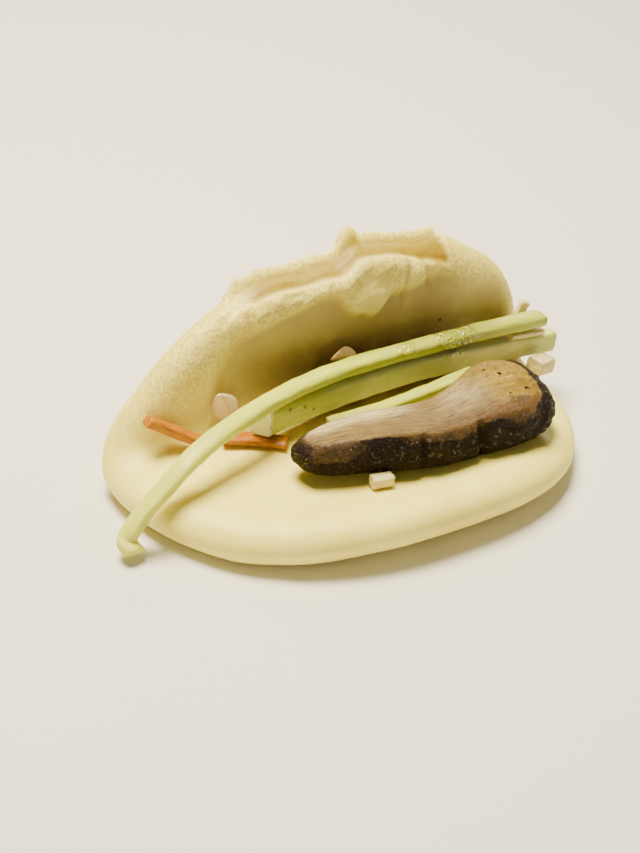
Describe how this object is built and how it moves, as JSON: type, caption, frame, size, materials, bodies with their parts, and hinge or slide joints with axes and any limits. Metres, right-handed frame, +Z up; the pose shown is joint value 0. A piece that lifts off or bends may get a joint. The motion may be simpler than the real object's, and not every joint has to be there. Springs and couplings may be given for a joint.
{
  "type": "gua bao",
  "caption": "Folded steamed bun standing open, filled with a glazed pork slice and strips of cucumber, carrot, radish and shallot.",
  "frame": {"origin": "middle of the whole bun's box, on the table", "axes": "+X along the fold, towards the end where the two cucumber sticks end together; +Y from the open front to the standing back flap; +Z up"},
  "size_m": [0.1317, 0.0681, 0.0473],
  "materials": {
    "steamed_dough": "matte",
    "glazed_pork": "glossy",
    "cucumber": "satin",
    "carrot": "satin",
    "radish": "satin",
    "shallot": "satin"
  },
  "bodies": {
    "root": {"bun": "steamed_dough", "pork_slice": "glazed_pork", "cucumber_long": "cucumber", "cucumber_short": "cucumber", "cucumber_strip": "cucumber", "carrot_left": "carrot", "carrot_right": "carrot", "radish_cube": "radish", "radish_back": "radish", "radish_between": "radish", "radish_rim": "radish", "shallot_left": "shallot", "shallot_back": "shallot", "shallot_right": "shallot"}
  },
  "joints": []
}
